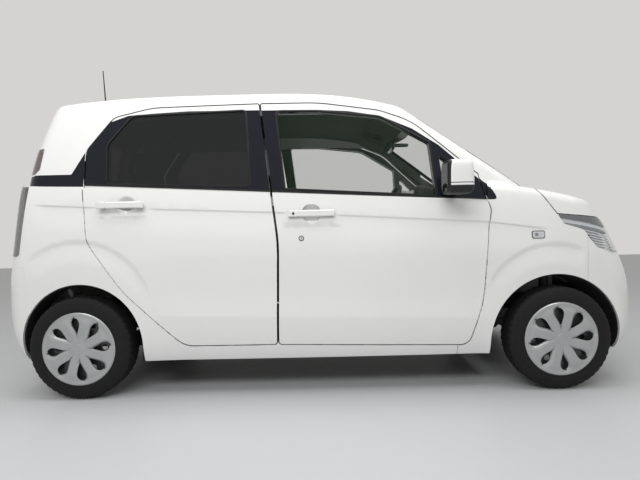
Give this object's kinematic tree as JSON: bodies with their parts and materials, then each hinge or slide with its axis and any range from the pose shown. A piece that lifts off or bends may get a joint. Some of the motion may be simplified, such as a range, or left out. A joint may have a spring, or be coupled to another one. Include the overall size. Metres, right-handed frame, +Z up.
{
  "type": "kei car",
  "caption": "Small five-door box-shaped passenger car with hinged doors, bonnet and tailgate, steered front wheels and plastic wheel covers.",
  "frame": {"origin": "on the ground at the middle of the body's length and width", "axes": "+X forward, +Y to the car's left, +Z up"},
  "size_m": [3.3959, 1.83, 1.8098],
  "materials": {
    "body_paint": "gloss white",
    "dark_trim": "satin black",
    "gloss_black": "gloss black",
    "lamp_lens": "clear",
    "red_lens": "clear red",
    "glass": "clear green tint",
    "dark_glass": "privacy tint",
    "floor_paint": "satin",
    "cast_metal": "rough cast",
    "dark_plastic": "matt",
    "exhaust_steel": "dull",
    "chassis_black": "satin",
    "dash_plastic": "grained",
    "seat_cloth": "woven",
    "tyre": "matt",
    "wheel_steel": "satin",
    "cover_silver": "silver"
  },
  "bodies": {
    "root": {"side_frame_right": "body_paint", "side_frame_left": "body_paint", "roof_panel": "body_paint", "fenders": "body_paint", "front_bumper": "body_paint", "rear_bumper": "body_paint", "grille": "dark_trim", "headlamps": "lamp_lens", "tail_lamps": "red_lens", "windscreen": "glass", "pillar_garnishes": "gloss_black", "underbody": "floor_paint", "engine": "cast_metal", "fuel_tank": "dark_plastic", "exhaust": "exhaust_steel", "front_suspension": "chassis_black", "rear_axle": "chassis_black", "dashboard": "dash_plastic", "rear_seat": "seat_cloth", "front_seats": "seat_cloth", "cowl": "dark_plastic", "aerial": "dark_plastic"},
    "bonnet": {"bonnet": "body_paint"},
    "tailgate": {"tailgate": "body_paint", "tailgate_glass": "dark_glass"},
    "steering_wheel": {"steering_wheel": "dash_plastic"},
    "knuckle_right": {"knuckle_right": "cast_metal"},
    "door_front_right": {"door_front_right": "body_paint", "glass_front_right": "glass", "mirror_right": "body_paint"},
    "door_rear_right": {"door_rear_right": "body_paint", "glass_rear_right": "dark_glass"},
    "wheel_front_right": {"tyre_front_right": "tyre", "rim_front_right": "wheel_steel", "cover_front_right": "cover_silver"},
    "wheel_rear_right": {"tyre_rear_right": "tyre", "rim_rear_right": "wheel_steel", "cover_rear_right": "cover_silver"},
    "knuckle_left": {"knuckle_left": "cast_metal"},
    "door_front_left": {"door_front_left": "body_paint", "glass_front_left": "glass", "mirror_left": "body_paint"},
    "door_rear_left": {"door_rear_left": "body_paint", "glass_rear_left": "dark_glass"},
    "wheel_front_left": {"tyre_front_left": "tyre", "rim_front_left": "wheel_steel", "cover_front_left": "cover_silver"},
    "wheel_rear_left": {"tyre_rear_left": "tyre", "rim_rear_left": "wheel_steel", "cover_rear_left": "cover_silver"}
  },
  "joints": [
    {"name": "steering_turn", "type": "hinge", "parent": "root", "child": "steering_wheel", "pos_m": [0.4, -0.33, 0.95], "axis": [-0.9063, 0, 0.4226], "range_deg": [-520, 520]},
    {"name": "steer_right", "type": "hinge", "parent": "root", "child": "knuckle_right", "pos_m": [1.2425, -0.53, 0.27], "axis": [0, 0, 1], "range_deg": [-33, 33]},
    {"name": "wheel_front_right_spin", "type": "hinge", "parent": "knuckle_right", "child": "wheel_front_right", "pos_m": [1.2425, -0.65, 0.27], "axis": [0, 1, 0], "continuous": true},
    {"name": "wheel_rear_right_spin", "type": "hinge", "parent": "root", "child": "wheel_rear_right", "pos_m": [-1.2775, -0.65, 0.27], "axis": [0, 1, 0], "continuous": true},
    {"name": "door_front_right_open", "type": "hinge", "parent": "root", "child": "door_front_right", "pos_m": [0.8945, -0.7415, 0.6], "axis": [0, 0.0599, 0.9982], "range_deg": [0, 70]},
    {"name": "door_rear_right_open", "type": "hinge", "parent": "root", "child": "door_rear_right", "pos_m": [-0.2205, -0.7425, 0.6], "axis": [0, 0.0599, 0.9982], "range_deg": [0, 75]},
    {"name": "steer_left", "type": "hinge", "parent": "root", "child": "knuckle_left", "pos_m": [1.2425, 0.53, 0.27], "axis": [0, 0, 1], "range_deg": [-33, 33]},
    {"name": "wheel_front_left_spin", "type": "hinge", "parent": "knuckle_left", "child": "wheel_front_left", "pos_m": [1.2425, 0.65, 0.27], "axis": [0, 1, 0], "continuous": true},
    {"name": "wheel_rear_left_spin", "type": "hinge", "parent": "root", "child": "wheel_rear_left", "pos_m": [-1.2775, 0.65, 0.27], "axis": [0, 1, 0], "continuous": true},
    {"name": "door_front_left_open", "type": "hinge", "parent": "root", "child": "door_front_left", "pos_m": [0.8945, 0.7415, 0.6], "axis": [0, 0.0599, -0.9982], "range_deg": [0, 70]},
    {"name": "door_rear_left_open", "type": "hinge", "parent": "root", "child": "door_rear_left", "pos_m": [-0.2205, 0.7425, 0.6], "axis": [0, 0.0599, -0.9982], "range_deg": [0, 75]},
    {"name": "bonnet_open", "type": "hinge", "parent": "root", "child": "bonnet", "pos_m": [1.05, 0, 1.15], "axis": [0, -1, 0], "range_deg": [0, 55]},
    {"name": "tailgate_open", "type": "hinge", "parent": "root", "child": "tailgate", "pos_m": [-1.44, 0, 1.62], "axis": [0, 1, 0], "range_deg": [0, 80]}
  ],
  "couplings": [
    {"joint": "steer_right", "follows": "steering_turn", "ratio": 0.0625},
    {"joint": "steer_left", "follows": "steering_turn", "ratio": 0.0625}
  ]
}
